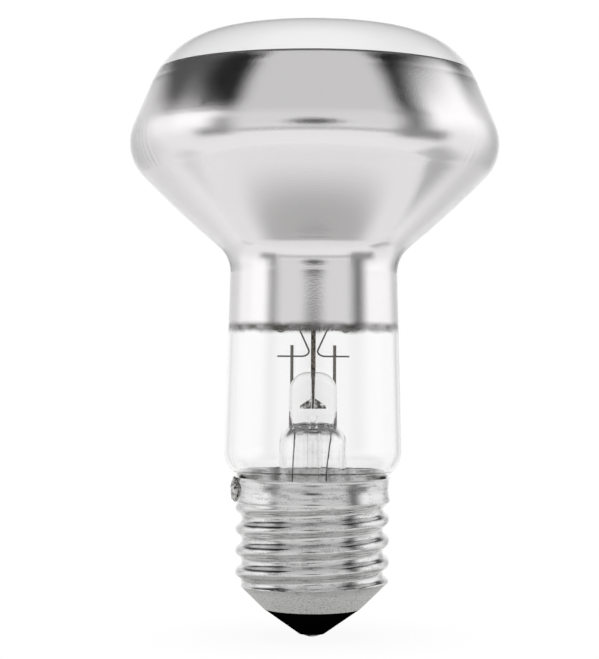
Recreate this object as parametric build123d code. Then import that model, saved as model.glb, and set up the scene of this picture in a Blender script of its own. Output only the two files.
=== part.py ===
from build123d import *
import os
from math import ceil, cos, radians, sin, sqrt, tan

# Reflector bulb on a screw cap, in millimetres.
# The origin is the tip of the centre contact, and +Z runs along the lamp's axis to the dome.
# The two lead posts stand in the XZ plane, the side solder is on -X, the filament's gap faces -Y.

# Clearances
seat_gap = 0.02             # round each wire in its glass, metal or cement
lead_gap = 0.1              # between the side lead and the shell
weld_gap = 0.05             # between the butted ends of two lengths of a lead
cut_margin = 1.0            # how far a cutting tool runs past the face that it opens

# Centre contact and insulator
solder_height = 0.5
solder_r = 1.75
contact_r = 1.9
contact_thickness = 0.35
insulator_tip_r = 2.15
insulator_height = 4.35      # from the contact face to the shell's lower edge
insulator_depth = 2.5       # how far the black glass fills the coned end
insulator_hole_r = 0.5

# Screw shell, rolled from one sheet
sheet = 0.3
shell_edge_r = 8.32         # lower edge of the coned end
cone_angle = 45.9           # of the coned end's side, from the axis
thread_crest_r = 13.12
thread_depth = 1.1
thread_pitch = 3.629
thread_length = 18.25        # from the shell's lower edge to the skirt
thread_crest_above_edge = 15.22   # height of one crest on the +X side
thread_strips = 12          # narrow strips across the ridge, from foot to foot
root_flat = 0.06            # how far the core stands above the bottom of the root's arc
ridge_gap = 0.4             # between the feet of two turns of the ridge, inside the core
skirt_r = 13.2
skirt_height = 4.3
waist_inset = 0.25          # of the waist from the skirt
waist_below_lip = 2.3
collar_inset = 0.15         # of the swelling between the waist and the lip
collar_below_lip = 1.0
lip_flare = 0.35
run_out = 1.7               # height of the coned start of the skirt, where the thread runs out

# Blown glass, thicker under the bowl and thinner in the band above it
glass_wall = 0.7
bowl_wall = 1.15
neck_gap = 0.55             # between the neck's end and the thread's inner side
neck_insertion = 6.4        # length of neck below the lip
heel_below_lip = 1.66       # where the straight end of the neck meets the heel
heel_angle = 45.5           # of the heel's slope, from the axis
heel_r = 15.16              # neck's outside at the heel
heel_round = 5.0
neck_root_round = 2.0
neck_top_r = 14.19
neck_height = 37.25         # from the lip to the knee under the bowl
knee_round = 5.65
bowl_r = 32.82              # sharp corner that the rim is rounded from
bowl_height = 17.4          # from the knee to that corner
bowl_bulge = 0.42
rim_round = 7.9
shoulder_r = 24.86
shoulder_height = 18.65     # from the bowl's corner to the shoulder's corner
shoulder_round = 14.3
band_bulge = 0.1            # of the band between bowl and shoulder, outside
inner_band_bulge = 0.4
dome_rise = 3.73

# Mirror film
film = 0.1
film_below_knee = 13.2
film_below_shoulder = 4.0

# Stem
stem_wall = 0.9
flare_r = 5.7
rim_land = 0.3              # flat of the flare's rim inside the neck's wall
flare_height = 15.4         # from the neck's end to the flare's closed top
flare_shoulder = 3.4
flare_roof = 1.1
press_width = 8.2
press_depth = 4.0
press_height = 8.6          # above the flare's closed top
press_round = 3.2
press_edge = 1.3
exhaust_r = 1.65
exhaust_bore_r = 0.9
exhaust_length = 22.0
tip_off = 1.2               # thickness of the tube's melted end
blow_hole_r = 0.8
blow_hole_height = 1.2      # above the flare's closed top

# Leads, support and filament
post_r = 0.275
post_x = 3.65
post_length = 9.5
post_above_press = 4.6
seal_r = 0.2
lead_r = 0.125
lead_x = 3.1                # where the leads leave the glass
lead_stub = 0.6             # length of seal wire that shows below the glass
rod_r = 0.4
rod_foot = 6.2              # depth of the rod in the pressed head
foot_width = 4.4            # of the rod's flattened foot
foot_height = 1.7
foot_edge = 0.5
foot_thickness = 0.5
coil_r = 0.8
ring_r = 6.5
ring_above_press = 7.9
ring_gap_angle = 48.0
tail_r = 0.15
tail_drop = 5.2             # from the ring down to the level where the tails cross the posts
tail_corner_x = 0.3
tail_round = 1.3
tail_overhang = 2.5
hook_r = 0.12
hook_eye_r = 1.0
hook_seat = 0.25
hook_angles = (30.0, 90.0, 150.0)
rod_above_ring = 0.7

# Outer leads
side_angle = 187.0          # of the side solder, about the axis
side_lead_x = 3.45          # at the lip's height
side_lead_foot_x = 4.0
tip_lead_x = 2.34
tip_lead_knee_x = 2.6
tip_lead_knee_rise = 6.0    # of the tip lead's knee above the insulator
tip_lead_axis_rise = 1.8    # where it reaches the axis, above the insulator
lead_bend = 0.4
tip_lead_bend = 1.0
under_rim = 0.5             # of the side lead below the flare's rim
notch_depth = 0.85
notch_width = 0.6
lead_in_solder = 0.25
solder_proud = 0.75
solder_half_width = 2.2
solder_half_height = 2.2
solder_below_lip = 2.3

# Cement
cement_above_thread = 0.2
cement_height = 1.6

# Heights worked out from the sizes above
contact_z = solder_height
edge_z = contact_z + insulator_height
insulator_top_z = edge_z + insulator_depth
thread_top_z = edge_z + thread_length
crest_z = edge_z + thread_crest_above_edge
lip_z = thread_top_z + skirt_height
neck_end_z = lip_z - neck_insertion
heel_z = lip_z - heel_below_lip
knee_z = lip_z + neck_height
bowl_z = knee_z + bowl_height
shoulder_z = bowl_z + shoulder_height
apex_z = shoulder_z + dome_rise
flare_top_z = neck_end_z + flare_height
cavity_z = flare_top_z - flare_roof
press_top_z = flare_top_z + press_height
blow_hole_z = flare_top_z + blow_hole_height
post_top_z = press_top_z + post_above_press
post_foot_z = post_top_z - post_length
rod_foot_z = press_top_z - rod_foot
ring_z = press_top_z + ring_above_press
tail_z = ring_z - tail_drop
lead_top_z = cavity_z - lead_stub - weld_gap
exhaust_tip_z = cavity_z - exhaust_length
rim_under_z = neck_end_z - stem_wall
cement_z = thread_top_z + cement_above_thread
cement_top_z = cement_z + cement_height

# Radii worked out from the sizes above
cone_slope = tan(radians(cone_angle))
roll_r = (thread_depth**2 + (thread_pitch / 2) ** 2) / (4 * thread_depth)
thread_inner_r = thread_crest_r - thread_depth - sheet
neck_end_r = thread_inner_r - neck_gap
neck_bore_r = neck_end_r - glass_wall
waist_r = skirt_r - waist_inset
collar_r = skirt_r - collar_inset
lip_r = skirt_r + lip_flare


def turned(face):
    """Revolves a face drawn as radius across and height up about the lamp's axis."""
    return revolve(Plane.XZ * face, Axis.Z)


def turned_polygon(*points):
    return turned(make_face(Polyline(*points, close=True)))


def rounded(face, corner, radius):
    """Rounds the corner of a face that lies nearest to a point."""
    vertex = face.vertices().sort_by_distance(corner)[0]
    return fillet(vertex, radius)


def band(low, high):
    """Flat strip, wider than the bulb, between two heights."""
    return Pos(0, (low + high) / 2) * Rectangle(4 * bowl_r, high - low)


def wire(radius, path):
    """Round wire along a path."""
    section = Plane(origin=path @ 0, z_dir=path % 0) * Circle(radius)
    return sweep(section, path=path)


def pin(start, end, radius):
    return wire(radius, Line(start, end))


def around(radius, angle, height):
    """Point at a radius and an angle about the axis."""
    return (radius * cos(radians(angle)), radius * sin(radians(angle)), height)


# Blown envelope and its film

def moved_corner(before, corner, after, first, second):
    """Corner of an outline that runs upwards, with its two sides moved in by their depths."""
    a = (corner - before).normalized()
    b = (after - corner).normalized()
    turn = a.X * b.Y - a.Y * b.X
    return corner + (b * first - a * second) * (1 / turn)


def bulb_face(depth, bowl_depth, bulge):
    """Half section of the bulb as seen from a depth under its skin, run on below the neck's end."""
    start = Vector(neck_end_r, neck_end_z - cut_margin)
    root = Vector(neck_end_r, heel_z)
    heel = Vector(heel_r, heel_z + (heel_r - neck_end_r) / tan(radians(heel_angle)))
    knee = Vector(neck_top_r, knee_z)
    bowl = Vector(bowl_r, bowl_z)
    shoulder = Vector(shoulder_r, shoulder_z)
    crown_r = (shoulder_r**2 + dome_rise**2) / (2 * dome_rise)
    crown_end = shoulder + Vector(dome_rise - crown_r, shoulder_r)
    root_in = moved_corner(start, root, heel, depth, depth)
    heel_in = moved_corner(root, heel, knee, depth, depth)
    knee_in = moved_corner(heel, knee, bowl, depth, bowl_depth)
    bowl_in = moved_corner(knee, bowl, shoulder, bowl_depth, depth)
    shoulder_in = moved_corner(bowl, shoulder, crown_end, depth, depth)
    top = (0, apex_z - depth)
    foot = (root_in.X, start.Y)
    outline = Curve() + [
        Polyline(top, (0, start.Y), foot, root_in, heel_in, knee_in),
        SagittaArc(knee_in, bowl_in, -bowl_bulge),
        SagittaArc(bowl_in, shoulder_in, -bulge),
        TangentArc(top, shoulder_in, tangent=(1, 0)),
    ]
    face = make_face(outline)
    rounds = (
        (root_in, neck_root_round + depth),
        (heel_in, heel_round - depth),
        (knee_in, knee_round + depth),
        (bowl_in, rim_round - depth),
        (shoulder_in, shoulder_round - depth),
    )
    for corner, radius in rounds:
        face = rounded(face, corner, radius)
    return face


def hollow_face(film_depth):
    """Half section of the space inside the glass, or inside a film on it."""
    return bulb_face(glass_wall + film_depth, bowl_wall + film_depth, inner_band_bulge)


def glass_envelope():
    wall = bulb_face(0, 0, band_bulge) - hollow_face(0)
    return turned(wall & band(neck_end_z, apex_z + cut_margin))


def mirror_coating():
    skin = hollow_face(0) - hollow_face(film)
    low = knee_z - film_below_knee
    high = shoulder_z - film_below_shoulder
    return turned(skin & band(low, high))


# Stem and exhaust tube

def flare_face():
    """Half section of the flare, closed at the top."""
    sweep_r = neck_bore_r - rim_land - flare_r
    bore_r = flare_r - stem_wall
    foot = (flare_r, neck_end_z)
    bore_foot = (bore_r, rim_under_z)
    top = (flare_r, flare_top_z)
    roof = (bore_r, cavity_z)
    face = make_face(
        Polyline(
            (0, flare_top_z),
            top,
            foot,
            (neck_end_r, neck_end_z),
            (neck_end_r, rim_under_z),
            bore_foot,
            roof,
            (0, cavity_z),
            close=True,
        )
    )
    rounds = (
        (foot, sweep_r),
        (bore_foot, sweep_r + stem_wall),
        (top, flare_shoulder),
        (roof, flare_shoulder - stem_wall),
    )
    for (x, y), radius in rounds:
        face = rounded(face, (x, y, 0), radius)
    return face


def pressed_head():
    """Flattened head of the stem, rounded at the top and along its edges."""
    half = press_width / 2
    face = make_face(
        Polyline(
            (-half, cavity_z),
            (-half, press_top_z),
            (half, press_top_z),
            (half, cavity_z),
            close=True,
        )
    )
    for sign in (1, -1):
        face = rounded(face, (sign * half, press_top_z, 0), press_round)
    block = extrude(Plane.XZ * face, amount=press_depth / 2, both=True)
    front_and_back = block.faces().sort_by(Axis.Y)
    edges = front_and_back[0].edges() + front_and_back[-1].edges()
    return fillet(edges.filter_by(lambda edge: edge.center().Z > cavity_z + seat_gap), press_edge)


def seal_ends(sign):
    """Upper and lower end of one seal wire's straight line."""
    upper = (sign * post_x, 0, post_foot_z - weld_gap)
    lower = (sign * lead_x, 0, cavity_z - lead_stub)
    return upper, lower


def rod_anchor(gap):
    """Flattened foot that holds the rod in the pressed head, or the room for it."""
    half = foot_width / 2 + gap
    neck = rod_r + gap
    edge_top_z = rod_foot_z + foot_edge + gap
    neck_z = rod_foot_z + foot_height + gap
    face = make_face(
        Polyline(
            (-half, rod_foot_z - gap),
            (-half, edge_top_z),
            (-neck, neck_z),
            (neck, neck_z),
            (half, edge_top_z),
            (half, rod_foot_z - gap),
            close=True,
        )
    )
    return extrude(Plane.XZ * face, amount=foot_thickness / 2 + gap, both=True)


def glass_stem():
    stem = turned(flare_face()) + pressed_head()
    above_z = press_top_z + cut_margin
    stem -= pin((0, 0, rod_foot_z), (0, 0, above_z), rod_r + seat_gap) + rod_anchor(seat_gap)
    stem -= pin((0, 0, cavity_z - cut_margin), (0, 0, blow_hole_z), exhaust_bore_r)
    stem -= pin((0, 0, blow_hole_z), (0, -press_depth, blow_hole_z), blow_hole_r)
    for sign in (1, -1):
        foot = post_foot_z - weld_gap - seal_r
        stem -= pin((sign * post_x, 0, foot), (sign * post_x, 0, above_z), post_r + seat_gap)
        stem -= pin(*seal_ends(sign), seal_r + seat_gap)
    return stem


def exhaust_tube():
    outer = make_face(
        Polyline(
            (0, cavity_z), (exhaust_r, cavity_z), (exhaust_r, exhaust_tip_z), (0, exhaust_tip_z), close=True
        )
    )
    outer = rounded(outer, (exhaust_r, exhaust_tip_z, 0), exhaust_r - seat_gap)
    bore_end_z = exhaust_tip_z + tip_off
    bore = make_face(
        Polyline(
            (0, cavity_z), (exhaust_bore_r, cavity_z), (exhaust_bore_r, bore_end_z), (0, bore_end_z), close=True
        )
    )
    bore = rounded(bore, (exhaust_bore_r, bore_end_z, 0), exhaust_bore_r - seat_gap)
    return turned(outer) - turned(bore)


# Leads, support rod and filament

def post(sign):
    """Upright lead with a cross hole for the filament's tail."""
    x = sign * post_x
    upright = pin((x, 0, post_foot_z), (x, 0, post_top_z), post_r)
    return upright - pin((x - cut_margin, 0, tail_z), (x + cut_margin, 0, tail_z), tail_r + seat_gap)


def seal_wires():
    return [pin(*seal_ends(sign), seal_r) for sign in (1, -1)]


def support_rod():
    rod = pin((0, 0, rod_foot_z), (0, 0, ring_z + rod_above_ring), rod_r) + rod_anchor(0)
    for angle in hook_angles:
        seat = around(rod_r - hook_seat, angle, ring_z)
        rod -= pin(seat, around(rod_r + cut_margin, angle, ring_z), hook_r + seat_gap)
    return rod


def filament_hooks():
    """Wires from the rod's seats to an eye round the coil."""
    hooks = []
    for angle in hook_angles:
        start = around(rod_r - hook_seat, angle, ring_z)
        shank = pin(start, around(ring_r - hook_eye_r, angle, ring_z), hook_r)
        along_ring = around(1, angle + 90, 0)
        eye = Plane(origin=around(ring_r, angle, ring_z), z_dir=along_ring) * Torus(hook_eye_r, hook_r)
        hooks.append(shank + eye)
    return hooks


def filament():
    """Ring of coil, open at the front, with a tail from each end through its post."""
    first = -90 + ring_gap_angle / 2
    ring = CenterArc((0, 0, ring_z), ring_r, first, 360 - ring_gap_angle)
    coil = wire(coil_r, ring)
    for sign, angle in ((1, first), (-1, 180 - first)):
        outer_end = (sign * (post_x + tail_overhang), 0, tail_z)
        corner = (sign * tail_corner_x, 0, tail_z)
        tail = FilletPolyline(outer_end, corner, around(ring_r, angle, ring_z), radius=tail_round)
        coil += wire(tail_r, tail)
    return coil


# Outer leads

def side_lead_path():
    """Down the flare, out under its rim, up behind the cement and out through the lip's notch."""
    gap_r = neck_end_r + neck_gap / 2
    foot_z = rim_under_z - under_rim
    skirt_lead_r = waist_r - sheet - lead_r - lead_gap
    notch_z = lip_z - notch_depth + lead_r + lead_gap
    return FilletPolyline(
        (-lead_x, 0, lead_top_z),
        (-side_lead_x, 0, lip_z),
        (-side_lead_foot_x, 0, foot_z),
        around(gap_r, side_angle, foot_z),
        around(gap_r, side_angle, cement_z),
        around(skirt_lead_r, side_angle, cement_top_z),
        around(skirt_lead_r, side_angle, notch_z),
        around(skirt_r + lead_in_solder, side_angle, notch_z),
        radius=lead_bend,
    )


def tip_lead_path():
    """Down beside the exhaust tube, in to the axis and through the contact."""
    return FilletPolyline(
        (lead_x, 0, lead_top_z),
        (tip_lead_x, 0, lip_z),
        (tip_lead_knee_x, 0, insulator_top_z + tip_lead_knee_rise),
        (0, 0, insulator_top_z + tip_lead_axis_rise),
        (0, 0, solder_height / 2),
        radius=tip_lead_bend,
    )


# Screw cap

def rolled_radius(height, crest_r):
    """Radius of the rolled thread at a height from its crest: equal arcs for crest and root."""
    height = abs(height)
    if height <= thread_pitch / 4:
        return crest_r - roll_r + sqrt(roll_r**2 - height**2)
    from_root = thread_pitch / 2 - height
    return crest_r - thread_depth + roll_r - sqrt(roll_r**2 - from_root**2)


def rolled_ridge(crest_r, start_z, height):
    """Right-handed ridge of the thread, with its foot sunk in the core."""
    foot = (thread_pitch - ridge_gap) / 2
    foot_r = crest_r - thread_depth - sheet
    outline = [(foot_r, 0, start_z - foot)]
    for strip in range(thread_strips + 1):
        offset_z = foot * (2 * strip / thread_strips - 1)
        outline.append((rolled_radius(offset_z, crest_r), 0, start_z + offset_z))
    outline.append((foot_r, 0, start_z + foot))
    path = Pos(0, 0, start_z) * Helix(thread_pitch, height, crest_r)
    return sweep(make_face(Polyline(*outline, close=True)), path=path, is_frenet=True)


def rolled_thread(crest_r, low, high):
    """Threaded bar: the ridge round its core, both run past the two heights."""
    turns_below = ceil((crest_z - low) / thread_pitch) + 1
    turns_above = ceil((high - crest_z) / thread_pitch) + 1
    start_z = crest_z - turns_below * thread_pitch
    ridge = rolled_ridge(crest_r, start_z, (turns_below + turns_above) * thread_pitch)
    core_r = crest_r - thread_depth + root_flat
    core_low = start_z - thread_pitch
    core_high = crest_z + (turns_above + 1) * thread_pitch
    return turned_polygon((0, core_low), (core_r, core_low), (core_r, core_high), (0, core_high)) + ridge


def skirt_face(shrink, high):
    """Half section of the skirt: coned start, swelling, waist, collar and flared lip."""
    start_r = skirt_r - shrink - run_out
    start_z = thread_top_z - run_out
    lip = (lip_r - shrink, lip_z)
    profile = Spline(
        (skirt_r - shrink, thread_top_z),
        (waist_r - shrink, lip_z - waist_below_lip),
        (collar_r - shrink, lip_z - collar_below_lip),
        lip,
    )
    outline = Curve() + [
        Polyline((0, high), (0, start_z), (start_r, start_z), (skirt_r - shrink, thread_top_z)),
        profile,
    ]
    if high > lip_z:
        outline += Polyline(lip, (lip_r - shrink, high), (0, high))
    else:
        outline += Line(lip, (0, high))
    return make_face(outline)


def shell_body(shrink, low, high):
    """Solid inside the sheet's outer side, or its inner side when shrunk by the sheet."""
    cone_edge_r = shell_edge_r - shrink * sqrt(1 + cone_slope**2) + cone_slope * (low - edge_z)
    cone_rise = thread_crest_r / cone_slope
    wide_r = cone_edge_r + cone_slope * cone_rise
    cone = turned_polygon(
        (0, low), (cone_edge_r, low), (wide_r, low + cone_rise), (wide_r, thread_top_z), (0, thread_top_z)
    )
    threaded = rolled_thread(thread_crest_r - shrink, low, thread_top_z) & cone
    return threaded + turned(skirt_face(shrink, high))


def cap_shell():
    outside = shell_body(0, edge_z, lip_z)
    inside = shell_body(sheet, edge_z - cut_margin, lip_z + cut_margin)
    notch = Pos(skirt_r, 0, lip_z - notch_depth + cut_margin) * Box(
        2 * cut_margin, notch_width, 2 * cut_margin
    )
    return outside - inside - Rot(0, 0, side_angle) * notch


def cap_insulator():
    """Black glass: the cone below the shell's edge and the plug inside its coned end."""
    bed_r = shell_edge_r - sheet * sqrt(1 + cone_slope**2)
    plug = turned_polygon(
        (0, contact_z),
        (insulator_tip_r, contact_z),
        (shell_edge_r, edge_z),
        (bed_r, edge_z),
        (bed_r + cone_slope * insulator_depth, insulator_top_z),
        (0, insulator_top_z),
    )
    recess_top_z = contact_z + contact_thickness + seat_gap
    plug -= pin((0, 0, contact_z - cut_margin), (0, 0, recess_top_z), contact_r + seat_gap)
    return plug - pin((0, 0, contact_z), (0, 0, insulator_top_z + cut_margin), insulator_hole_r)


def contact_plate():
    plate = pin((0, 0, contact_z), (0, 0, contact_z + contact_thickness), contact_r)
    return plate - pin((0, 0, 0), (0, 0, contact_z + cut_margin), lead_r + seat_gap)


def dome_point():
    """Point half-way round the solder dome's arc, which is level at the tip."""
    dome_r = (solder_r**2 + solder_height**2) / (2 * solder_height)
    half_r = solder_r / 2
    return (half_r, dome_r - sqrt(dome_r**2 - half_r**2))


def tip_solder():
    dome = turned(
        make_face(
            Curve()
            + [
                Polyline((0, 0), (0, solder_height), (solder_r, solder_height)),
                ThreePointArc((solder_r, solder_height), dome_point(), (0, 0)),
            ]
        )
    )
    return dome - pin((0, 0, solder_height / 2), (0, 0, solder_height + cut_margin), lead_r + seat_gap)


def side_solder(lead_path):
    """Lump on the skirt's outside that holds the end of the side lead."""
    lump = scale(Sphere(1), by=(solder_proud, solder_half_width, solder_half_height))
    lump = Rot(0, 0, side_angle) * Pos(skirt_r, 0, lip_z - solder_below_lip) * lump
    return lump - turned(skirt_face(0, lip_z)) - wire(lead_r + seat_gap, lead_path)


def basing_cement(lead_path):
    inner_r = neck_end_r + seat_gap
    outer_r = waist_r - sheet - seat_gap
    ring = turned_polygon(
        (inner_r, cement_z), (outer_r, cement_z), (outer_r, cement_top_z), (inner_r, cement_top_z)
    )
    return ring - wire(lead_r + seat_gap, lead_path)


def build():
    side_path = side_lead_path()
    return {
        "glass_envelope": glass_envelope(),
        "mirror_coating": mirror_coating(),
        "glass_stem": glass_stem(),
        "exhaust_tube": exhaust_tube(),
        "left_post": post(-1),
        "right_post": post(1),
        "seal_wires": Compound(children=seal_wires()),
        "support_rod": support_rod(),
        "filament_hooks": Compound(children=filament_hooks()),
        "filament": filament(),
        "side_wire": wire(lead_r, side_path),
        "tip_wire": wire(lead_r, tip_lead_path()),
        "cap_shell": cap_shell(),
        "cap_insulator": cap_insulator(),
        "contact_plate": contact_plate(),
        "tip_solder": tip_solder(),
        "side_solder": side_solder(side_path),
        "basing_cement": basing_cement(side_path),
    }


os.makedirs("parts", exist_ok=True)
for node, solid in build().items():
    export_step(solid, f"parts/{node}.step")
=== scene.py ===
"""Looks of a reflector bulb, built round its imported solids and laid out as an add-on."""

from math import pi, radians, tan

import bmesh
import bpy
from bpy.props import FloatProperty, FloatVectorProperty, IntProperty, PointerProperty
from bpy.types import Operator, Panel, PropertyGroup
from mathutils import Euler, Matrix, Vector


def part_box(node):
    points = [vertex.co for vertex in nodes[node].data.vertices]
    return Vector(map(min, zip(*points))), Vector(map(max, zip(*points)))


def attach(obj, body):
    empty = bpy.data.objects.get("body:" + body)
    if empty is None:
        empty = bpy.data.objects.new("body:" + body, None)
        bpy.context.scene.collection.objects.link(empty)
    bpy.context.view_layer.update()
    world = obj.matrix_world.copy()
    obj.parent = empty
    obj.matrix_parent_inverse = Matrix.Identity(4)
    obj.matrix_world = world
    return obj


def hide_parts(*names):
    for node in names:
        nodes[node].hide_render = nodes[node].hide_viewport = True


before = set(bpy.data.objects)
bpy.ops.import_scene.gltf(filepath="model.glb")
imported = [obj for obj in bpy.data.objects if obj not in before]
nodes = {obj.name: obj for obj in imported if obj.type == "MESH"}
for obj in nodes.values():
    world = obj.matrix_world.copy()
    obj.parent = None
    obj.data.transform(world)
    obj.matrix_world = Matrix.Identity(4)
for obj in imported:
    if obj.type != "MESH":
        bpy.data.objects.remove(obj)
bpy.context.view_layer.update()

bl_info = {
    "name": "Reflector Bulb",
    "version": (1, 0, 0),
    "blender": (4, 5, 0),
    "location": "3D View > Sidebar > Bulb",
    "description": "Glass, film, filament and screw cap of a reflector bulb",
    "category": "Object",
}

MM = 0.001

# What the sidebar needs to know of each kind of value
LENGTH = dict(subtype="DISTANCE", unit="LENGTH", precision=5)
ANGLE = dict(subtype="ANGLE", unit="ROTATION")
SHARE = dict(subtype="FACTOR", min=0.0, max=1.0)
COLOUR = dict(subtype="COLOR", size=4, min=0.0, max=1.0)

# Inputs of Mix and Compare nodes that share their names: two numbers or two colours
NUMBER_A, NUMBER_B, COLOUR_A, COLOUR_B = 2, 3, 6, 7


def linear(hex_colour):
    """Linear colour of an sRGB hex value."""
    channels = [int(hex_colour[place:place + 2], 16) / 255 for place in (1, 3, 5)]
    return (*[c / 12.92 if c <= 0.04045 else ((c + 0.055) / 1.055) ** 2.4 for c in channels], 1.0)


def connect(tree, node, wanted):
    """Sets or links a node's inputs, by place or name; a node stands for its first output in use."""
    for place, value in wanted.items():
        if isinstance(value, bpy.types.Node):
            value = next(socket for socket in value.outputs if socket.enabled)
        if isinstance(value, bpy.types.NodeSocket):
            tree.links.new(value, node.inputs[place])
        else:
            node.inputs[place].default_value = value


def add(tree, kind, *values, named=None, **settings):
    """Adds a node: its settings, then its inputs in their order or by place or name."""
    node = tree.nodes.new(kind)
    for setting, value in settings.items():
        setattr(node, setting, value)
    connect(tree, node, {**dict(enumerate(values)), **(named or {})})
    return node


def new_finish(name):
    """New material with its node tree, its shader and a socket of object coordinates."""
    material = bpy.data.materials.new(name)
    material.use_nodes = True
    tree = material.node_tree
    shader = tree.nodes["Principled BSDF"]
    place = add(tree, "ShaderNodeTexCoord").outputs["Object"]
    return material, tree, shader, place


def bare_tree(owner):
    """Node tree of a material or world, emptied."""
    owner.use_nodes = True
    owner.node_tree.nodes.clear()
    return owner.node_tree


def coat(piece, material):
    """Makes a material the only one of a piece."""
    piece.data.materials.clear()
    piece.data.materials.append(material)


def dress(material, *names):
    """Gives CAD nodes one material."""
    for name in names:
        coat(nodes[name], material)


def keep_piece(piece, material, slot, *replaced):
    """Puts a finished piece on the bulb in place of its CAD nodes."""
    coat(piece, material)
    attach(piece, "root")
    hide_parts(*replaced)


def new_object(name, data):
    """New object at the origin, in the scene."""
    piece = bpy.data.objects.new(name, data)
    bpy.context.scene.collection.objects.link(piece)
    return piece


def new_mesh(name, shape):
    """Mesh of a finished shape, which is freed."""
    mesh = bpy.data.meshes.new(name)
    shape.to_mesh(mesh)
    shape.free()
    return mesh


def merged_copy(name, node):
    """Copy of a CAD node's mesh with its loose triangles joined."""
    shape = bmesh.new()
    shape.from_mesh(nodes[node].data)
    bmesh.ops.remove_doubles(shape, verts=shape.verts, dist=0.002 * MM)
    return new_mesh(name, shape)


def new_growth(name, sizes):
    """Geometry Nodes tree with a named input for each size, and its two end nodes."""
    tree = bpy.data.node_groups.new(name, "GeometryNodeTree")
    tree.interface.new_socket("Geometry", in_out="OUTPUT", socket_type="NodeSocketGeometry")
    tree.interface.new_socket("Geometry", in_out="INPUT", socket_type="NodeSocketGeometry")
    for size, value in sizes.items():
        kind = "NodeSocketInt" if isinstance(value, int) else "NodeSocketFloat"
        socket = tree.interface.new_socket(size, in_out="INPUT", socket_type=kind)
        socket.default_value = value
    return tree, tree.nodes.new("NodeGroupInput"), tree.nodes.new("NodeGroupOutput")


def finish_growth(tree, end, geometry, material):
    """Ends a tree with plain geometry that carries its material."""
    real = add(tree, "GeometryNodeRealizeInstances", geometry)
    coated = add(tree, "GeometryNodeSetMaterial", real, named={"Material": material})
    connect(tree, end, {"Geometry": coated})


def grow(name, tree, sizes, mesh=None):
    """Runs a Geometry Nodes tree with its sizes and keeps the result as a plain mesh."""
    piece = new_object(name, mesh or bpy.data.meshes.new(name))
    modifier = piece.modifiers.new(name, "NODES")
    modifier.node_group = tree
    for item in tree.interface.items_tree:
        if item.in_out == "INPUT" and item.name in sizes:
            modifier[item.identifier] = sizes[item.name]
    graph = bpy.context.evaluated_depsgraph_get()
    result = bpy.data.meshes.new_from_object(piece.evaluated_get(graph))
    piece.modifiers.remove(modifier)
    piece.data = result
    result.name = name
    return piece


class EnvelopeSettings(PropertyGroup):
    satin_start: FloatProperty(
        name="Satin start", description="Height where the satin dome begins",
        default=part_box("mirror_coating")[1][2] - 0.55 * MM, **LENGTH)
    satin_roughness: FloatProperty(
        name="Satin roughness", description="Roughness of the satin dome", default=0.5, **SHARE)
    satin_clear: FloatProperty(
        name="Satin clearness", description="Share of light that goes through the satin", default=0.08,
        **SHARE)


class CoatingSettings(PropertyGroup):
    film_colour: FloatVectorProperty(
        name="Film colour", description="Colour of the aluminium film", default=linear("#edebec"),
        **COLOUR)
    smoke_colour: FloatVectorProperty(
        name="Smoke colour", description="Colour where the film thins out in the neck",
        default=linear("#5b5955"), **COLOUR)
    film_roughness: FloatProperty(
        name="Film roughness", description="Roughness of the film", default=0.07, **SHARE)
    smoke_length: FloatProperty(
        name="Smoke length", description="Length over which the film thins out in the neck",
        default=1.7 * MM, **LENGTH)
    sunk: FloatProperty(
        name="Sunk depth", description="Depth of the film's skin in the glass", default=0.03 * MM,
        **LENGTH)


class FilamentSettings(PropertyGroup):
    ring_radius: FloatProperty(
        name="Ring radius", description="Radius of the coil's ring", default=6.5 * MM, **LENGTH)
    ring_height: FloatProperty(
        name="Ring height", description="Height of the coil's ring", default=52.9 * MM, **LENGTH)
    ring_gap: FloatProperty(
        name="Ring gap", description="Angle left open at the front", default=radians(48), **ANGLE)
    coil_radius: FloatProperty(
        name="Coil radius", description="Outer radius of the coil", default=0.8 * MM, **LENGTH)
    coil_pitch: FloatProperty(
        name="Coil pitch", description="Distance from turn to turn", default=0.8 * MM, **LENGTH)
    coil_wire: FloatProperty(
        name="Coil wire", description="Radius of the coiled wire", default=0.13 * MM, **LENGTH)
    tail_wire: FloatProperty(
        name="Tail wire", description="Radius of the straight tails", default=0.15 * MM, **LENGTH)
    tail_height: FloatProperty(
        name="Tail height", description="Height where the tails cross the posts", default=47.7 * MM,
        **LENGTH)
    tail_reach: FloatProperty(
        name="Tail reach", description="Distance of a tail's end from the axis", default=6.15 * MM,
        **LENGTH)
    tail_corner: FloatProperty(
        name="Tail corner", description="Distance of a tail's bend from the axis", default=0.3 * MM,
        **LENGTH)
    tail_round: FloatProperty(
        name="Tail bend", description="Radius of a tail's bend", default=1.3 * MM, **LENGTH)
    wire_colour: FloatVectorProperty(
        name="Wire colour", description="Colour of the tungsten", default=linear("#6d6a66"), **COLOUR)


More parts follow.
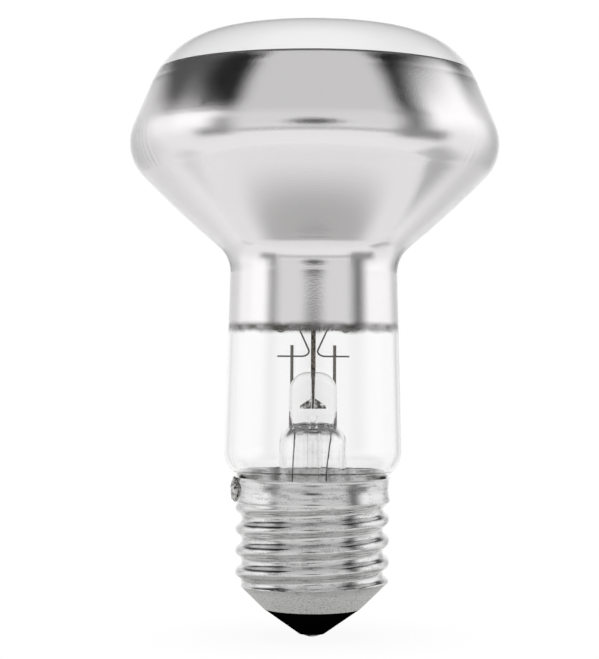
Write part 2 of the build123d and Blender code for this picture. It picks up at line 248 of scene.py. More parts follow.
class CapSettings(PropertyGroup):
    crest_radius: FloatProperty(
        name="Crest radius", description="Radius of the thread's crests", default=13.12 * MM, **LENGTH)
    thread_depth: FloatProperty(
        name="Thread depth", description="Depth of the rolled thread", default=1.1 * MM, **LENGTH)
    thread_pitch: FloatProperty(
        name="Thread pitch", description="Rise of the thread in one turn", default=3.629 * MM, **LENGTH)
    crest_height: FloatProperty(
        name="Crest height", description="Height of a crest on the right", default=20.07 * MM, **LENGTH)
    edge_height: FloatProperty(
        name="Edge height", description="Height of the shell's lower edge",
        default=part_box("cap_shell")[0][2], **LENGTH)
    edge_radius: FloatProperty(
        name="Edge radius", description="Radius of the shell's lower edge", default=8.32 * MM, **LENGTH)
    cone_angle: FloatProperty(
        name="Cone angle", description="Angle of the coned end from the axis", default=radians(45.9),
        **ANGLE)
    skirt_height: FloatProperty(
        name="Skirt start", description="Height where the skirt begins", default=23.1 * MM, **LENGTH)
    skirt_radius: FloatProperty(
        name="Skirt radius", description="Radius of the skirt's swelling", default=13.2 * MM, **LENGTH)
    lip_height: FloatProperty(
        name="Lip height", description="Height of the lip", default=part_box("cap_shell")[1][2], **LENGTH)
    lip_flare: FloatProperty(
        name="Lip flare", description="Flare of the lip from the skirt", default=0.35 * MM, **LENGTH)
    lip_wave: FloatProperty(
        name="Lip wave", description="Unevenness of the lip's edge", default=0.16 * MM, **LENGTH)
    sheet: FloatProperty(name="Sheet", description="Thickness of the sheet", default=0.3 * MM, **LENGTH)
    columns: IntProperty(name="Columns", description="Mesh columns round the shell", default=192)
    rows: IntProperty(name="Rows", description="Mesh rows over both sides of the sheet", default=320)
    sheet_colour: FloatVectorProperty(
        name="Sheet colour", description="Colour of the clean sheet", default=linear("#dadada"), **COLOUR)
    # The cone's colour is lighter than the sheet's: painted light that lifts the downward-facing cone
    lightened_cone_colour: FloatVectorProperty(
        name="Cone colour", description="Colour of the blasted cone", default=linear("#f6f6f5"), **COLOUR)
    stain_colour: FloatVectorProperty(
        name="Stain colour", description="Colour of the dull specks", default=linear("#777776"), **COLOUR)


class SolderSettings(PropertyGroup):
    lump: FloatProperty(
        name="Lump", description="Unevenness of the side solder", default=0.12 * MM, **LENGTH)
    solder_colour: FloatVectorProperty(
        name="Solder colour", description="Colour of clean solder", default=linear("#d5d4d1"), **COLOUR)
    flux_colour: FloatVectorProperty(
        name="Flux colour", description="Colour of the burnt flux", default=linear("#2c2823"), **COLOUR)


class StageSettings(PropertyGroup):
    distance: FloatProperty(
        name="Camera distance", description="Camera's distance from the axis", default=0.333, **LENGTH)
    height: FloatProperty(
        name="Camera height", description="Camera's height", default=47.05 * MM, **LENGTH)
    lens: FloatProperty(
        name="Lens", description="Focal length in millimetres", default=106.5, unit="CAMERA")
    pitch: FloatProperty(name="Pitch", description="Camera's upward tilt", default=radians(0.9), **ANGLE)
    yaw: FloatProperty(
        name="Yaw", description="Camera's turn to the left", default=radians(0.41), **ANGLE)
    roll: FloatProperty(
        name="Roll", description="Camera's turn about its own line of sight", default=radians(0.35),
        **ANGLE)
    floor_radius: FloatProperty(
        name="Floor radius", description="Radius of the floor", default=0.08, **LENGTH)
    floor_colour: FloatVectorProperty(
        name="Floor colour", description="Colour of the floor", default=linear("#f8f8f7"), **COLOUR)
    floor_glow: FloatProperty(
        name="Floor glow", description="Share of plain white that mirrors and glass see in the floor",
        default=0.5, **SHARE)
    # The shade under the bowl is painted into the floor's colour
    shade_start: FloatProperty(
        name="Shade start", description="Distance from the axis where the shade under the bowl thins out",
        default=20 * MM, **LENGTH)
    shade_end: FloatProperty(
        name="Shade end", description="Distance from the axis where the shade under the bowl ends",
        default=38 * MM, **LENGTH)
    shade_stretch: FloatProperty(
        name="Shade stretch", description="Width of the shade in shares of its depth", default=1.5)
    shade_level: FloatProperty(
        name="Shade level", description="Brightness left in the shade", default=0.6, **SHARE)


class BULB_OT_envelope(Operator):
    """Dress the blown glass: clear neck, satin dome"""

    bl_idname = "bulb.envelope"
    bl_label = "Glass Envelope"

    def execute(self, context):
        settings = context.scene.bulb_envelope
        # Blown soda-lime glass: clear and smooth in the neck, etched to an even white satin in the dome
        material, tree, shader, place = new_finish("Blown soda-lime glass")
        height = add(tree, "ShaderNodeSeparateXYZ", place).outputs["Z"]
        satin_low, satin_edge = settings.satin_start, 0.05 * MM
        satin = add(tree, "ShaderNodeMapRange", height, satin_low, satin_low + satin_edge,
                    interpolation_type="SMOOTHSTEP")
        rough = add(tree, "ShaderNodeMapRange", satin, 0.0, 1.0, 0.0, settings.satin_roughness)
        clear = add(tree, "ShaderNodeMapRange", satin, 0.0, 1.0, 1.0, settings.satin_clear)
        # The dome is etched on the inside alone, so its outside keeps the glass's gloss as a coat
        connect(tree, shader, {
            "Base Color": linear("#fdfdfd"), "IOR": 1.5, "Roughness": rough, "Transmission Weight": clear,
            "Coat Weight": satin, "Coat Roughness": 0.02})
        dress(material, "glass_envelope")
        return {"FINISHED"}


class BULB_OT_coating(Operator):
    """Make the mirror film inside the bowl and the upper neck"""

    bl_idname = "bulb.coating"
    bl_label = "Mirror Coating"

    def finish(self, settings):
        # Aluminium flashed on glass: a mirror with a faint grain, smoky where it thins out in the neck
        material, tree, shader, place = new_finish("Flashed aluminium film")
        low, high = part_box("mirror_coating")
        height = add(tree, "ShaderNodeSeparateXYZ", place).outputs["Z"]
        # Grain of 0.25 mm, drawn coarser than the real one
        grain = add(tree, "ShaderNodeTexNoise", place, named={"Scale": 1 / (0.25 * MM), "Detail": 1.0})
        uneven = 0.03
        rough = add(tree, "ShaderNodeMapRange", grain, 0.3, 0.7, settings.film_roughness - uneven,
                    settings.film_roughness + uneven)
        bump = add(tree, "ShaderNodeBump", named={
            "Height": grain, "Strength": 0.5, "Distance": 0.012 * MM})
        # Drifts of about 3 mm along the lower edge, which shift it up and down by 0.2 mm
        drift_reach = 0.2 * MM
        drift = add(tree, "ShaderNodeTexNoise", place, named={
            "Scale": 1 / (3 * MM), "Detail": 2.0, "Roughness": 0.5})
        shifted = add(tree, "ShaderNodeMapRange", drift, 0.3, 0.7, -1.0, 1.0, clamp=False)
        shifted = add(tree, "ShaderNodeMath", shifted, drift_reach, height, operation="MULTIPLY_ADD")
        edge = low[2] + 0.1 * MM
        full = edge + settings.smoke_length
        lower = add(tree, "ShaderNodeMapRange", shifted, edge, full, interpolation_type="SMOOTHSTEP")
        # The smoke is patchy, and clears over about 1 mm where the film is full
        smoke = add(tree, "ShaderNodeMapRange", shifted, full - 0.55 * MM, full + 0.5 * MM, 1.0, 0.0,
                    interpolation_type="SMOOTHSTEP")
        patchy = add(tree, "ShaderNodeMapRange", drift, 0.35, 0.6, 0.45, 1.0)
        smoke = add(tree, "ShaderNodeMath", smoke, patchy, operation="MULTIPLY")
        colour = add(tree, "ShaderNodeMix", smoke, data_type="RGBA", named={
            COLOUR_A: settings.film_colour, COLOUR_B: settings.smoke_colour})
        # Fine shreds of 0.6 mm along the upper edge, up to 0.35 mm deep
        shred_depth, shred_edge = 0.35 * MM, 0.12 * MM
        shred = add(tree, "ShaderNodeTexNoise", place, named={"Scale": 1 / (0.6 * MM), "Detail": 2.0})
        upper = add(tree, "ShaderNodeMath", shred, shred_depth, height, operation="MULTIPLY_ADD")
        upper = add(tree, "ShaderNodeMapRange", upper, high[2], high[2] + shred_edge, 1.0, 0.0)
        cover = add(tree, "ShaderNodeMath", lower, upper, operation="MULTIPLY")
        connect(tree, shader, {
            "Base Color": colour, "Metallic": 1.0, "Roughness": rough, "Normal": bump, "Alpha": cover})
        return material

    def execute(self, context):
        settings = context.scene.bulb_coating
        film = new_object("mirror_film", merged_copy("mirror_film", "mirror_coating"))
        film.data.shade_smooth()
        film.data.set_sharp_from_angle(angle=radians(40))
        outward = [vertex.normal.copy() for vertex in film.data.vertices]
        for vertex, normal in zip(film.data.vertices, outward):
            vertex.co += normal * settings.sunk
        keep_piece(film, self.finish(settings), "mirror_film", "mirror_coating")
        return {"FINISHED"}


class BULB_OT_stem(Operator):
    """Dress the flare, its pressed head and the exhaust tube"""

    bl_idname = "bulb.stem"
    bl_label = "Glass Stem"

    def execute(self, context):
        # Drawn lead glass tube, worked in the flame: clear, with a heavier gloss and soft ripples
        material, tree, shader, place = new_finish("Flame-worked lead glass")
        # Ripples of about 1.5 mm where the press took hold
        ripple = add(tree, "ShaderNodeTexNoise", place, named={"Scale": 1 / (1.5 * MM), "Detail": 1.0})
        bump = add(tree, "ShaderNodeBump", named={
            "Height": ripple, "Strength": 0.06, "Distance": 0.3 * MM})
        connect(tree, shader, {
            "Base Color": linear("#ffffff"), "IOR": 1.56, "Transmission Weight": 1.0, "Roughness": 0.0,
            "Normal": bump})
        dress(material, "glass_stem", "exhaust_tube")
        return {"FINISHED"}


class BULB_OT_leads(Operator):
    """Dress the posts, the seal wires, the support rod, its hooks and the outer leads"""

    bl_idname = "bulb.leads"
    bl_label = "Leads and Supports"

    def execute(self, context):
        # Each finish has its pale and dark colour, metallic, roughness, grit and the height up to which
        # it is eaten away, if it is, both in mm, and its pieces
        finishes = {
            # Drawn nickel wire, fired in the seal: warm grey, finely pitted
            "Drawn nickel wire": (
                "#8d877d", "#3f3a34", 0.9, 0.42, 0.25, None, ("left_post", "right_post")),
            # Oxidised molybdenum rod: brown black, scaly and dull, its flattened foot eaten away in spots
            "Oxidised molybdenum rod": ("#b3a596", "#120d0b", 0.3, 0.6, 0.42, 41.4, ("support_rod",)),
            # Copper clad seal wire: dark red where it shows through the glass
            "Copper clad seal wire": ("#7a4634", "#3c241c", 0.9, 0.45, 0.4, None, ("seal_wires",)),
            # Tinned copper leads, dulled by the flame
            "Dulled copper lead": ("#5f564e", "#2c2723", 0.8, 0.5, 0.4, None, ("side_wire", "tip_wire")),
            # Molybdenum hooks: dark grey and smooth
            "Molybdenum hook wire": ("#77757a", "#4b4a4c", 1.0, 0.35, 0.2, None, ("filament_hooks",)),
        }
        for name, (pale, dark, metallic, roughness, grit, eaten_to, pieces) in finishes.items():
            material, tree, shader, place = new_finish(name)
            speck = add(tree, "ShaderNodeTexNoise", place, named={
                "Scale": 1 / (grit * MM), "Detail": 3.0, "Roughness": 0.6})
            share = add(tree, "ShaderNodeMapRange", speck, 0.38, 0.62)
            colour = add(tree, "ShaderNodeMix", share, data_type="RGBA", named={
                COLOUR_A: linear(dark), COLOUR_B: linear(pale)})
            bump = add(tree, "ShaderNodeBump", named={
                "Height": speck, "Strength": 0.6, "Distance": 0.08 * MM})
            connect(tree, shader, {
                "Base Color": colour, "Metallic": metallic, "Roughness": roughness, "Normal": bump})
            if eaten_to:
                # Holes of about 0.7 mm, which stop within 0.3 mm
                eaten = add(tree, "ShaderNodeTexNoise", place, named={
                    "Scale": 1 / (0.7 * MM), "Detail": 2.0})
                eaten = add(tree, "ShaderNodeMapRange", eaten, 0.36, 0.6)
                height = add(tree, "ShaderNodeSeparateXYZ", place).outputs["Z"]
                whole = add(tree, "ShaderNodeMapRange", height, (eaten_to - 0.3) * MM, eaten_to * MM)
                cover = add(tree, "ShaderNodeMath", eaten, whole, operation="MAXIMUM")
                connect(tree, shader, {"Alpha": cover})
            dress(material, *pieces)
        return {"FINISHED"}


class BULB_OT_filament(Operator):
    """Wind the filament's coil round its ring and draw its tails to the posts"""

    bl_idname = "bulb.filament"
    bl_label = "Filament"

    def finish(self, settings):
        # Drawn tungsten: dark grey metal with faint die lines of 0.2 mm
        material, tree, shader, place = new_finish("Drawn tungsten")
        streak = add(tree, "ShaderNodeTexNoise", place, named={"Scale": 1 / (0.2 * MM), "Detail": 2.0})
        rough = add(tree, "ShaderNodeMapRange", streak, 0.3, 0.7, 0.3, 0.5)
        connect(tree, shader, {"Base Color": settings.wire_colour, "Metallic": 1.0, "Roughness": rough})
        return material

    def execute(self, context):
        settings = context.scene.bulb_filament
        material = self.finish(settings)
        ring_points, turn_points, bend_points = 64, 16, 10
        coil_sides, tail_sides = 7, 10
        sweep = 2 * pi - settings.ring_gap
        sizes = {
            "Ring Radius": settings.ring_radius,
            "Ring Height": settings.ring_height,
            "First Angle": settings.ring_gap / 2 - pi / 2,
            "Sweep": sweep,
            "Turns": sweep * settings.ring_radius / settings.coil_pitch,
            "Coil Middle": settings.coil_radius - settings.coil_wire,
            "Coil Wire": settings.coil_wire,
            "Tail Wire": settings.tail_wire,
            "Tail Height": settings.tail_height,
            "Tail Reach": settings.tail_reach,
            "Tail Corner": settings.tail_corner,
            "Tail Round": settings.tail_round,
        }
        tree, start, end = new_growth("Filament", sizes)
        size = start.outputs
        # The ring, moved out and up at each point as the coil winds round it
        ring = add(tree, "GeometryNodeCurveArc", named={
            "Resolution": ring_points, "Radius": size["Ring Radius"], "Start Angle": size["First Angle"],
            "Sweep Angle": size["Sweep"]})
        points = add(tree, "ShaderNodeMath", size["Turns"], turn_points, operation="MULTIPLY")
        finer = add(tree, "GeometryNodeResampleCurve", ring, named={"Count": points})
        along = add(tree, "GeometryNodeSplineParameter").outputs["Factor"]
        angle = add(tree, "ShaderNodeMath", along, size["Turns"], operation="MULTIPLY")
        angle = add(tree, "ShaderNodeMath", angle, 2 * pi, operation="MULTIPLY")
        out = add(tree, "ShaderNodeMath", angle, operation="COSINE")
        up = add(tree, "ShaderNodeMath", angle, operation="SINE")
        here = add(tree, "GeometryNodeInputPosition")
        outward = add(tree, "ShaderNodeVectorMath", here, operation="NORMALIZE")
        outward = add(tree, "ShaderNodeVectorMath", outward, operation="SCALE", named={"Scale": out})
        turn = add(tree, "ShaderNodeCombineXYZ", 0.0, 0.0, up)
        turn = add(tree, "ShaderNodeVectorMath", outward, turn, operation="ADD")
        turn = add(tree, "ShaderNodeVectorMath", turn, operation="SCALE", named={
            "Scale": size["Coil Middle"]})
        lift = add(tree, "ShaderNodeCombineXYZ", 0.0, 0.0, size["Ring Height"])
        shift = add(tree, "ShaderNodeVectorMath", turn, lift, operation="ADD")
        wound = add(tree, "GeometryNodeSetPosition", finer, named={"Offset": shift})
        coil_section = add(tree, "GeometryNodeCurvePrimitiveCircle", named={
            "Resolution": coil_sides, "Radius": size["Coil Wire"]})
        pieces = [add(tree, "GeometryNodeCurveToMesh", wound, coil_section, named={"Fill Caps": True})]
        # Each tail: a line from its tip to the ring's end, with its middle point pulled to the bend
        tail_section = add(tree, "GeometryNodeCurvePrimitiveCircle", named={
            "Resolution": tail_sides, "Radius": size["Tail Wire"]})
        end_x = add(tree, "ShaderNodeMath", size["First Angle"], operation="COSINE")
        end_x = add(tree, "ShaderNodeMath", end_x, size["Ring Radius"], operation="MULTIPLY")
        end_y = add(tree, "ShaderNodeMath", size["First Angle"], operation="SINE")
        end_y = add(tree, "ShaderNodeMath", end_y, size["Ring Radius"], operation="MULTIPLY")
        for side in (1.0, -1.0):
            tip_x, bend_x, top_x = [
                add(tree, "ShaderNodeMath", away, side, operation="MULTIPLY")
                for away in (size["Tail Reach"], size["Tail Corner"], end_x)]
            tip = add(tree, "ShaderNodeCombineXYZ", tip_x, 0.0, size["Tail Height"])
            bend = add(tree, "ShaderNodeCombineXYZ", bend_x, 0.0, size["Tail Height"])
            top = add(tree, "ShaderNodeCombineXYZ", top_x, end_y, size["Ring Height"])
            line = add(tree, "GeometryNodeCurvePrimitiveLine", named={"Start": tip, "End": top})
            line = add(tree, "GeometryNodeResampleCurve", line, named={"Count": 3})
            middle = add(tree, "FunctionNodeCompare", data_type="INT", operation="EQUAL", named={
                NUMBER_A: add(tree, "GeometryNodeInputIndex"), NUMBER_B: 1})
            line = add(tree, "GeometryNodeSetPosition", line, middle, bend)
            line = add(tree, "GeometryNodeFilletCurve", line, named={
                "Count": bend_points, "Radius": size["Tail Round"]}, mode="POLY")
            tail = add(tree, "GeometryNodeCurveToMesh", line, tail_section, named={"Fill Caps": True})
            pieces.append(tail)
        joined = add(tree, "GeometryNodeJoinGeometry")
        for piece in pieces:
            connect(tree, joined, {"Geometry": piece})
        smooth = add(tree, "GeometryNodeSetShadeSmooth", joined)
        finish_growth(tree, end, smooth, material)
        keep_piece(grow("filament_coil", tree, sizes), material, "tungsten", "filament")
        return {"FINISHED"}


class BULB_OT_cap(Operator):
    """Roll the cap's sheet: coned end, thread, skirt and lip"""

    bl_idname = "bulb.cap"
    bl_label = "Cap Shell"

    def finish(self, settings):
        # Rolled aluminium sheet: bright on the crests, dulled and speckled by handling and heat
        material, tree, shader, place = new_finish("Rolled aluminium sheet")
        height = add(tree, "ShaderNodeSeparateXYZ", place).outputs["Z"]
        # Streaks of 3 mm along the roll, a fifth as tall, and grit of 0.25 mm on the coned end
        flat = add(tree, "ShaderNodeVectorMath", place, (1.0, 1.0, 5.0), operation="MULTIPLY")
        streak = add(tree, "ShaderNodeTexNoise", flat, named={"Scale": 1 / (3 * MM), "Detail": 3.0})
        speck = add(tree, "ShaderNodeTexNoise", place, named={"Scale": 1 / (0.25 * MM), "Detail": 2.0})
        rolled = add(tree, "ShaderNodeMath", speck, 0.5, streak, operation="MULTIPLY_ADD")
        rolled = add(tree, "ShaderNodeMapRange", rolled, 0.74, 0.98, 0.0, 0.55)
        gritty = add(tree, "ShaderNodeMapRange", speck, 0.53, 0.68, 0.0, 0.65)
        # The cone is blasted from 9 mm down, and all over below 7.8 mm; there it also takes a lighter
        # colour, a painted lift against the shade it reflects as it faces down
        blasted_and_lightened = add(tree, "ShaderNodeMapRange", height, 9.0 * MM, 7.8 * MM)
        stain = add(tree, "ShaderNodeMix", blasted_and_lightened, named={NUMBER_A: rolled, NUMBER_B: gritty})
        # Clean sheet on the thread, and on the cone a lighter colour that is painted light
        clean = add(tree, "ShaderNodeMix", blasted_and_lightened, data_type="RGBA", named={
            COLOUR_A: settings.sheet_colour, COLOUR_B: settings.lightened_cone_colour})
        colour = add(tree, "ShaderNodeMix", stain, data_type="RGBA", named={
            COLOUR_A: clean, COLOUR_B: settings.stain_colour})
        sheet_rough, cone_rough, stain_rough = 0.07, 0.34, 0.12
        rough = add(tree, "ShaderNodeMapRange", blasted_and_lightened, 0.0, 1.0, sheet_rough, cone_rough)
        rough = add(tree, "ShaderNodeMath", stain, stain_rough, rough, operation="MULTIPLY_ADD")
        bump = add(tree, "ShaderNodeBump", named={
            "Height": speck, "Strength": 0.25, "Distance": 0.03 * MM})
        connect(tree, shader, {"Base Color": colour, "Metallic": 1.0, "Roughness": rough, "Normal": bump})
        return material

    def execute(self, context):
        settings = context.scene.bulb_cap
        material = self.finish(settings)
        depth, pitch = settings.thread_depth, settings.thread_pitch
        sizes = {
            "Columns": settings.columns,
            "Rows": settings.rows,
            "Crest Radius": settings.crest_radius,
            "Depth": depth,
            "Pitch": pitch,
            "Roll Radius": (depth ** 2 + (pitch / 2) ** 2) / (4 * depth),
            "Crest Height": settings.crest_height,
            "Edge Height": settings.edge_height,
            "Edge Radius": settings.edge_radius,
            "Cone Slope": tan(settings.cone_angle),
            "Skirt Height": settings.skirt_height,
            "Skirt Radius": settings.skirt_radius,
            "Lip Height": settings.lip_height,
            "Lip Flare": settings.lip_flare,
            "Lip Wave": settings.lip_wave,
            "Sheet": settings.sheet,
        }
        tree, start, end = new_growth("Cap Shell", sizes)
        size = start.outputs
        # A grid of 1 by 1 about its middle, whose columns go round the cap
        grid = add(tree, "GeometryNodeMeshGrid", 1.0, 1.0, size["Columns"], size["Rows"])
        here = add(tree, "ShaderNodeSeparateXYZ", add(tree, "GeometryNodeInputPosition"))
        turn = add(tree, "ShaderNodeMath", here.outputs["X"], 0.5, operation="ADD")
        angle = add(tree, "ShaderNodeMath", turn, 2 * pi, operation="MULTIPLY")
        cosine = add(tree, "ShaderNodeMath", angle, operation="COSINE")
        sine = add(tree, "ShaderNodeMath", angle, operation="SINE")
        # Rows climb the outside to the lip and come down the inside
        fold = add(tree, "ShaderNodeMath", here.outputs["Y"], operation="ABSOLUTE")
        climb = add(tree, "ShaderNodeMapRange", fold, 0.0, 0.5, 1.0, 0.0)
        # The lip's wave runs round a circle of radius 1 in its noise, so it closes
        rim = add(tree, "ShaderNodeCombineXYZ", cosine, sine, 0.0)
        wave = add(tree, "ShaderNodeTexNoise", rim, named={"Scale": 2.2, "Detail": 3.0})
        wave = add(tree, "ShaderNodeMapRange", wave, 0.25, 0.75, -1.0, 1.0, clamp=False)
        wave = add(tree, "ShaderNodeMath", wave, size["Lip Wave"], operation="MULTIPLY")
        top = add(tree, "ShaderNodeMath", size["Lip Height"], size["Lip Wave"], operation="SUBTRACT")
        top = add(tree, "ShaderNodeMath", top, wave, operation="ADD")
        height = add(tree, "ShaderNodeMapRange", climb, 0.0, 1.0, size["Edge Height"], top)
        # Rolled thread: equal arcs at crest and root
        rise = add(tree, "ShaderNodeMath", height, size["Crest Height"], operation="SUBTRACT")
        rise = add(tree, "ShaderNodeMath", rise, size["Pitch"], operation="DIVIDE")
        rise = add(tree, "ShaderNodeMath", rise, turn, operation="SUBTRACT")
        share = add(tree, "ShaderNodeMath", rise, 0.5, operation="PINGPONG")
        low_half = add(tree, "ShaderNodeMath", 0.5, share, operation="SUBTRACT")
        nearest = add(tree, "ShaderNodeMath", share, low_half, operation="MINIMUM")
        nearest = add(tree, "ShaderNodeMath", nearest, size["Pitch"], operation="MULTIPLY")
        nearest = add(tree, "ShaderNodeMath", nearest, 2.0, operation="POWER")
        roll_square = add(tree, "ShaderNodeMath", size["Roll Radius"], 2.0, operation="POWER")
        chord = add(tree, "ShaderNodeMath", roll_square, nearest, operation="SUBTRACT")
        chord = add(tree, "ShaderNodeMath", chord, operation="SQRT")
        drop = add(tree, "ShaderNodeMath", size["Roll Radius"], chord, operation="SUBTRACT")
        on_root = add(tree, "ShaderNodeMath", share, 0.25, operation="GREATER_THAN")
        crest = add(tree, "ShaderNodeMath", size["Crest Radius"], drop, operation="SUBTRACT")
        root = add(tree, "ShaderNodeMath", size["Crest Radius"], size["Depth"], operation="SUBTRACT")
        root = add(tree, "ShaderNodeMath", root, drop, operation="ADD")
        thread = add(tree, "ShaderNodeMix", on_root, named={NUMBER_A: crest, NUMBER_B: root})
        # Coned end below, coned start of the skirt above, each with a rounded corner to the thread
        skirt_corner, cone_corner = 0.25 * MM, 0.4 * MM
        above_edge = add(tree, "ShaderNodeMath", height, size["Edge Height"], operation="SUBTRACT")
        cone = add(tree, "ShaderNodeMath", above_edge, size["Cone Slope"], size["Edge Radius"],
                   operation="MULTIPLY_ADD")
        into_skirt = add(tree, "ShaderNodeMath", height, size["Skirt Height"], operation="SUBTRACT")
        ramp = add(tree, "ShaderNodeMath", into_skirt, size["Skirt Radius"], operation="ADD")
        thread = add(tree, "ShaderNodeMath", thread, ramp, skirt_corner, operation="SMOOTH_MAX")
        thread = add(tree, "ShaderNodeMath", thread, cone, cone_corner, operation="SMOOTH_MIN")
        # Skirt: swelling, waist, collar and a lip that flares out past the swelling
        lip = settings.lip_height - settings.skirt_height
        waist, collar, flare = lip - 2.3 * MM, lip - 1.0 * MM, lip - 0.9 * MM
        waist_depth, collar_rise = 0.25 * MM, 0.1 * MM
        swell = add(tree, "ShaderNodeMapRange", into_skirt, 0.0, waist, 0.0, -waist_depth,
                    interpolation_type="SMOOTHSTEP")
        collar = add(tree, "ShaderNodeMapRange", into_skirt, waist, collar, 0.0, collar_rise,
                     interpolation_type="SMOOTHSTEP")
        flare = add(tree, "ShaderNodeMapRange", into_skirt, flare, lip)
        flare = add(tree, "ShaderNodeMath", flare, 2.0, operation="POWER")
        flare_size = add(tree, "ShaderNodeMath", size["Lip Flare"], waist_depth - collar_rise,
                         operation="ADD")
        flare_size = add(tree, "ShaderNodeMath", flare_size, wave, operation="ADD")
        skirt = add(tree, "ShaderNodeMath", swell, size["Skirt Radius"], operation="ADD")
        skirt = add(tree, "ShaderNodeMath", skirt, collar, operation="ADD")
        skirt = add(tree, "ShaderNodeMath", flare, flare_size, skirt, operation="MULTIPLY_ADD")
        on_skirt = add(tree, "ShaderNodeMath", into_skirt, 0.0, operation="GREATER_THAN")
        radius = add(tree, "ShaderNodeMix", on_skirt, named={NUMBER_A: thread, NUMBER_B: skirt})
        # Inside of the sheet: every row after the lip's, up to the last, which closes the edge
        hair = 0.0001
        inside = add(tree, "ShaderNodeMath", here.outputs["Y"], hair, operation="GREATER_THAN")
        before_end = add(tree, "ShaderNodeMath", here.outputs["Y"], 0.5 - hair, operation="LESS_THAN")
        inside = add(tree, "ShaderNodeMath", inside, before_end, operation="MULTIPLY")
        wall = add(tree, "ShaderNodeMath", inside, size["Sheet"], operation="MULTIPLY")
        radius = add(tree, "ShaderNodeMath", radius, wall, operation="SUBTRACT")
        spot_x = add(tree, "ShaderNodeMath", cosine, radius, operation="MULTIPLY")
        spot_y = add(tree, "ShaderNodeMath", sine, radius, operation="MULTIPLY")
        spot = add(tree, "ShaderNodeCombineXYZ", spot_x, spot_y, height)
        shell = add(tree, "GeometryNodeSetPosition", grid, named={"Position": spot})
        shell = add(tree, "GeometryNodeMergeByDistance", shell, named={"Distance": 0.005 * MM})
        shell = add(tree, "GeometryNodeSetShadeSmooth", shell)
        finish_growth(tree, end, shell, material)
        piece = grow("screw_shell", tree, sizes)
        piece.data.set_sharp_from_angle(angle=radians(50))
        keep_piece(piece, material, "cap_sheet", "cap_shell")
        return {"FINISHED"}


class BULB_OT_contact(Operator):
    """Dress the black glass, the centre contact and the cement"""

    bl_idname = "bulb.contact"
    bl_label = "Insulator and Contact"

    def execute(self, context):
        # Pressed glass: near black, with a dull fire skin that flows in swirls of 1.2 mm
        material, tree, shader, place = new_finish("Pressed black glass")
        flow = add(tree, "ShaderNodeTexNoise", place, named={"Scale": 1 / (1.2 * MM), "Detail": 3.0})
        colour = add(tree, "ShaderNodeMix", flow, data_type="RGBA", named={
            COLOUR_A: linear("#020202"), COLOUR_B: linear("#060606")})
        rough = add(tree, "ShaderNodeMapRange", flow, 0.3, 0.7, 0.4, 0.6)
        connect(tree, shader, {"Base Color": colour, "Roughness": rough, "Specular IOR Level": 0.0})
        dress(material, "cap_insulator")

        # Stamped brass: warm, lightly tarnished in spots of 0.6 mm
        material, tree, shader, place = new_finish("Stamped brass")
        tarnish = add(tree, "ShaderNodeTexNoise", place, named={"Scale": 1 / (0.6 * MM), "Detail": 3.0})
        colour = add(tree, "ShaderNodeMix", tarnish, data_type="RGBA", named={
            COLOUR_A: linear("#8a6a32"), COLOUR_B: linear("#c9a55a")})
        connect(tree, shader, {"Base Color": colour, "Metallic": 1.0, "Roughness": 0.35})
        dress(material, "contact_plate")

        # Basing cement: buff, with a grit of 0.3 mm, and quite matt
        material, tree, shader, place = new_finish("Baked basing cement")
        grit = add(tree, "ShaderNodeTexNoise", place, named={"Scale": 1 / (0.3 * MM), "Detail": 4.0})
        colour = add(tree, "ShaderNodeMix", grit, data_type="RGBA", named={
            COLOUR_A: linear("#9c9384"), COLOUR_B: linear("#cfc7b6")})
        bump = add(tree, "ShaderNodeBump", named={"Height": grit, "Strength": 0.6, "Distance": 0.1 * MM})
        connect(tree, shader, {"Base Color": colour, "Roughness": 0.95, "Normal": bump})
        dress(material, "basing_cement")
        return {"FINISHED"}


class BULB_OT_solder(Operator):
    """Make the rough side solder and dress the tip"""

    bl_idname = "bulb.solder"
    bl_label = "Solder"

    def finish(self, settings):
        # Hand-laid tin-lead solder: dull grey with burnt flux in its hollows, in blotches of 0.7 mm
        material, tree, shader, place = new_finish("Hand-laid solder")
        blotch = add(tree, "ShaderNodeTexNoise", place, named={
            "Scale": 1 / (0.7 * MM), "Detail": 4.0, "Roughness": 0.65})
        share = add(tree, "ShaderNodeMapRange", blotch, 0.4, 0.5)
        colour = add(tree, "ShaderNodeMix", share, data_type="RGBA", named={
            COLOUR_A: settings.flux_colour, COLOUR_B: settings.solder_colour})
        rough = add(tree, "ShaderNodeMapRange", share, 0.0, 1.0, 0.7, 0.35)
        shine = add(tree, "ShaderNodeMapRange", share, 0.0, 1.0, 0.3, 1.0)
        bump = add(tree, "ShaderNodeBump", named={
            "Height": blotch, "Strength": 0.5, "Distance": 0.15 * MM})
        connect(tree, shader, {"Base Color": colour, "Metallic": shine, "Roughness": rough, "Normal": bump})
        return material

    def execute(self, context):
        settings = context.scene.bulb_solder
        material = self.finish(settings)
        dress(material, "tip_solder")
        sizes = {"Lump": settings.lump}
        tree, start, end = new_growth("Side Solder", sizes)
        finer = add(tree, "GeometryNodeSubdivideMesh", start.outputs["Geometry"], 1)
        here = add(tree, "GeometryNodeInputPosition")
        # Lumps of about 0.9 mm
        lumps = add(tree, "ShaderNodeTexNoise", here, named={"Scale": 1 / (0.9 * MM), "Detail": 2.0})
        push = add(tree, "ShaderNodeMapRange", lumps, 0.3, 0.7, -1.0, 1.0)
        push = add(tree, "ShaderNodeMath", push, start.outputs["Lump"], operation="MULTIPLY")
        normal = add(tree, "GeometryNodeInputNormal")
        push = add(tree, "ShaderNodeVectorMath", normal, operation="SCALE", named={"Scale": push})
        lump = add(tree, "GeometryNodeSetPosition", finer, named={"Offset": push})
        lump = add(tree, "GeometryNodeSetShadeSmooth", lump)
        finish_growth(tree, end, lump, material)
        piece = grow("side_solder_lump", tree, sizes, merged_copy("side_solder_base", "side_solder"))
        keep_piece(piece, material, "solder", "side_solder")
        return {"FINISHED"}


